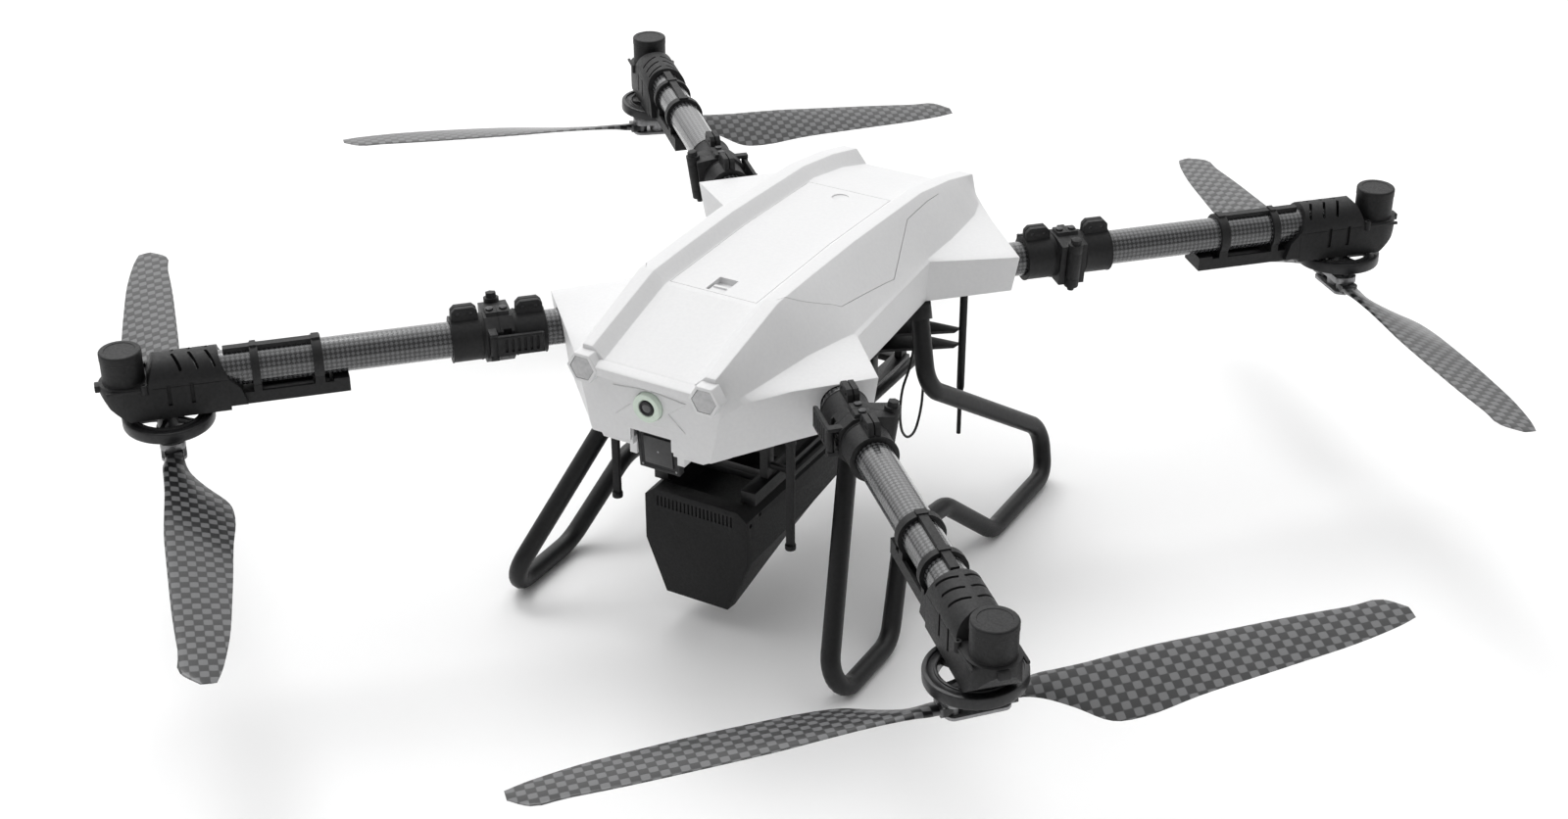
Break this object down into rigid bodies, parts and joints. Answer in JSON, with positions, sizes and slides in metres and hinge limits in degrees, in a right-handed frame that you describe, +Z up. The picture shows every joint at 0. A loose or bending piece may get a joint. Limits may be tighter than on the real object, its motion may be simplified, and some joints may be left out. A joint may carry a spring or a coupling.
{
  "type": "agricultural drone",
  "caption": "Agricultural drone with a faceted white body, folding carbon arms, spoked motors with folding two-blade propellers, bent-tube landing gear and a slide-out battery box.",
  "frame": {"origin": "on the ground, midway between the four motors, under the middle of the body", "axes": "+Z up, -Y towards the nose, +X towards the drone's left"},
  "size_m": [1.6076, 1.6082, 0.4166],
  "materials": {
    "white_shell": "satin white moulded plastic",
    "black_coat": "fine black powder coat",
    "black_nylon": "moulded black nylon",
    "carbon_tube": "fine woven carbon under clear resin",
    "carbon_blade": "coarse checker carbon weave under clear resin",
    "motor_black": "black anodised with a grey machined hub",
    "marker_lens": "clear lens",
    "camera_glass": "dark lens in a pale green ring",
    "cable_jacket": "matt black jacket",
    "module_case": "matt black case",
    "antenna_case": "matt black tube",
    "battery_case": "matt black moulded case"
  },
  "bodies": {
    "root": {"main_shell": "white_shell", "canopy": "white_shell", "belly_shell": "white_shell", "centre_frame": "black_coat", "flight_controller": "module_case", "fpv_camera": "camera_glass", "radar_panel": "module_case", "marker_light_left": "marker_lens", "marker_light_right": "marker_lens", "gear_left": "black_coat", "gear_right": "black_coat", "rail_frame": "black_coat", "antenna_front_left": "antenna_case", "antenna_front_right": "antenna_case", "antenna_rear": "antenna_case", "cable_loop": "cable_jacket", "root_tube_front_right": "carbon_tube", "hinge_inner_front_right": "black_nylon", "root_tube_front_left": "carbon_tube", "hinge_inner_front_left": "black_nylon", "root_tube_rear_left": "carbon_tube", "hinge_inner_rear_left": "black_nylon", "root_tube_rear_right": "carbon_tube", "hinge_inner_rear_right": "black_nylon"},
    "arm_front_right": {"hinge_outer_front_right": "black_nylon", "arm_tube_front_right": "carbon_tube", "motor_pod_front_right": "black_nylon", "end_cap_front_right": "black_nylon"},
    "lever_front_right": {"latch_lever_front_right": "black_nylon"},
    "propeller_front_right": {"rotor_front_right": "motor_black"},
    "blade_body_1_front_right": {"blade_1_front_right": "carbon_blade"},
    "blade_body_2_front_right": {"blade_2_front_right": "carbon_blade"},
    "arm_front_left": {"hinge_outer_front_left": "black_nylon", "arm_tube_front_left": "carbon_tube", "motor_pod_front_left": "black_nylon", "end_cap_front_left": "black_nylon"},
    "lever_front_left": {"latch_lever_front_left": "black_nylon"},
    "propeller_front_left": {"rotor_front_left": "motor_black"},
    "blade_body_1_front_left": {"blade_1_front_left": "carbon_blade"},
    "blade_body_2_front_left": {"blade_2_front_left": "carbon_blade"},
    "arm_rear_left": {"hinge_outer_rear_left": "black_nylon", "arm_tube_rear_left": "carbon_tube", "motor_pod_rear_left": "black_nylon", "end_cap_rear_left": "black_nylon"},
    "lever_rear_left": {"latch_lever_rear_left": "black_nylon"},
    "propeller_rear_left": {"rotor_rear_left": "motor_black"},
    "blade_body_1_rear_left": {"blade_1_rear_left": "carbon_blade"},
    "blade_body_2_rear_left": {"blade_2_rear_left": "carbon_blade"},
    "arm_rear_right": {"hinge_outer_rear_right": "black_nylon", "arm_tube_rear_right": "carbon_tube", "motor_pod_rear_right": "black_nylon", "end_cap_rear_right": "black_nylon"},
    "lever_rear_right": {"latch_lever_rear_right": "black_nylon"},
    "propeller_rear_right": {"rotor_rear_right": "motor_black"},
    "blade_body_1_rear_right": {"blade_1_rear_right": "carbon_blade"},
    "blade_body_2_rear_right": {"blade_2_rear_right": "carbon_blade"},
    "hatch": {"top_hatch": "white_shell"},
    "hatch_latch_body": {"hatch_latch": "white_shell"},
    "battery": {"battery_pack": "battery_case"}
  },
  "joints": [
    {"name": "fold_front_right", "type": "hinge", "parent": "root", "child": "arm_front_right", "pos_m": [-0.24628, -0.22443, 0.333], "axis": [-0.0984, 0.0984, 0.9903], "range_deg": [-125, 0]},
    {"name": "latch_lever_front_right", "type": "hinge", "parent": "arm_front_right", "child": "lever_front_right", "pos_m": [-0.20668, -0.27676, 0.3355], "axis": [0, 0, 1], "range_deg": [-95, 0]},
    {"name": "spin_front_right", "type": "hinge", "parent": "arm_front_right", "child": "propeller_front_right", "pos_m": [-0.4775, -0.4995, 0.285], "axis": [0.037, -0.037, 0.9986], "continuous": true},
    {"name": "blade_1_fold_front_right", "type": "hinge", "parent": "propeller_front_right", "child": "blade_body_1_front_right", "pos_m": [-0.4956, -0.48141, 0.2553], "axis": [0.037, -0.037, 0.9986], "range_deg": [0, 50]},
    {"name": "blade_2_fold_front_right", "type": "hinge", "parent": "propeller_front_right", "child": "blade_body_2_front_right", "pos_m": [-0.4617, -0.5153, 0.25279], "axis": [0.037, -0.037, 0.9986], "range_deg": [-90, 0]},
    {"name": "fold_front_left", "type": "hinge", "parent": "root", "child": "arm_front_left", "pos_m": [0.24628, -0.22443, 0.333], "axis": [0.0984, 0.0984, 0.9903], "range_deg": [0, 125]},
    {"name": "latch_lever_front_left", "type": "hinge", "parent": "arm_front_left", "child": "lever_front_left", "pos_m": [0.20668, -0.27676, 0.3355], "axis": [0, 0, 1], "range_deg": [0, 95]},
    {"name": "spin_front_left", "type": "hinge", "parent": "arm_front_left", "child": "propeller_front_left", "pos_m": [0.4775, -0.4995, 0.285], "axis": [-0.037, -0.037, 0.9986], "continuous": true},
    {"name": "blade_1_fold_front_left", "type": "hinge", "parent": "propeller_front_left", "child": "blade_body_1_front_left", "pos_m": [0.4956, -0.48141, 0.2553], "axis": [-0.037, -0.037, 0.9986], "range_deg": [-50, 0]},
    {"name": "blade_2_fold_front_left", "type": "hinge", "parent": "propeller_front_left", "child": "blade_body_2_front_left", "pos_m": [0.4617, -0.5153, 0.25279], "axis": [-0.037, -0.037, 0.9986], "range_deg": [0, 90]},
    {"name": "fold_rear_left", "type": "hinge", "parent": "root", "child": "arm_rear_left", "pos_m": [0.25578, 0.22443, 0.333], "axis": [0.0984, -0.0984, 0.9903], "range_deg": [-125, 0]},
    {"name": "latch_lever_rear_left", "type": "hinge", "parent": "arm_rear_left", "child": "lever_rear_left", "pos_m": [0.21618, 0.27676, 0.3355], "axis": [0, 0, 1], "range_deg": [-95, 0]},
    {"name": "spin_rear_left", "type": "hinge", "parent": "arm_rear_left", "child": "propeller_rear_left", "pos_m": [0.487, 0.4995, 0.285], "axis": [-0.037, 0.037, 0.9986], "continuous": true},
    {"name": "blade_1_fold_rear_left", "type": "hinge", "parent": "propeller_rear_left", "child": "blade_body_1_rear_left", "pos_m": [0.50509, 0.48141, 0.2553], "axis": [-0.037, 0.037, 0.9986], "range_deg": [0, 50]},
    {"name": "blade_2_fold_rear_left", "type": "hinge", "parent": "propeller_rear_left", "child": "blade_body_2_rear_left", "pos_m": [0.4712, 0.5153, 0.25279], "axis": [-0.037, 0.037, 0.9986], "range_deg": [-90, 0]},
    {"name": "fold_rear_right", "type": "hinge", "parent": "root", "child": "arm_rear_right", "pos_m": [-0.25578, 0.22443, 0.333], "axis": [-0.0984, -0.0984, 0.9903], "range_deg": [0, 125]},
    {"name": "latch_lever_rear_right", "type": "hinge", "parent": "arm_rear_right", "child": "lever_rear_right", "pos_m": [-0.21618, 0.27676, 0.3355], "axis": [0, 0, 1], "range_deg": [0, 95]},
    {"name": "spin_rear_right", "type": "hinge", "parent": "arm_rear_right", "child": "propeller_rear_right", "pos_m": [-0.487, 0.4995, 0.285], "axis": [0.037, 0.037, 0.9986], "continuous": true},
    {"name": "blade_1_fold_rear_right", "type": "hinge", "parent": "propeller_rear_right", "child": "blade_body_1_rear_right", "pos_m": [-0.50509, 0.48141, 0.2553], "axis": [0.037, 0.037, 0.9986], "range_deg": [-50, 0]},
    {"name": "blade_2_fold_rear_right", "type": "hinge", "parent": "propeller_rear_right", "child": "blade_body_2_rear_right", "pos_m": [-0.4712, 0.5153, 0.25279], "axis": [0.037, 0.037, 0.9986], "range_deg": [0, 90]},
    {"name": "hatch_hinge", "type": "hinge", "parent": "root", "child": "hatch", "pos_m": [0, 0.15, 0.39812], "axis": [-1, 0, 0], "range_deg": [0, 75]},
    {"name": "hatch_latch_slide", "type": "slide", "parent": "hatch", "child": "hatch_latch_body", "axis": [0, 1, 0], "range_m": [0, 0.009]},
    {"name": "battery_slide", "type": "slide", "parent": "root", "child": "battery", "axis": [0, 1, 0], "range_m": [0, 0.2]}
  ],
  "couplings": [
    {"joint": "blade_1_fold_front_right", "follows": "fold_front_right", "ratio": -0.4},
    {"joint": "blade_2_fold_front_right", "follows": "fold_front_right", "ratio": 0.72},
    {"joint": "blade_1_fold_front_left", "follows": "fold_front_left", "ratio": -0.4},
    {"joint": "blade_2_fold_front_left", "follows": "fold_front_left", "ratio": 0.72},
    {"joint": "blade_1_fold_rear_left", "follows": "fold_rear_left", "ratio": -0.4},
    {"joint": "blade_2_fold_rear_left", "follows": "fold_rear_left", "ratio": 0.72},
    {"joint": "blade_1_fold_rear_right", "follows": "fold_rear_right", "ratio": -0.4},
    {"joint": "blade_2_fold_rear_right", "follows": "fold_rear_right", "ratio": 0.72}
  ]
}
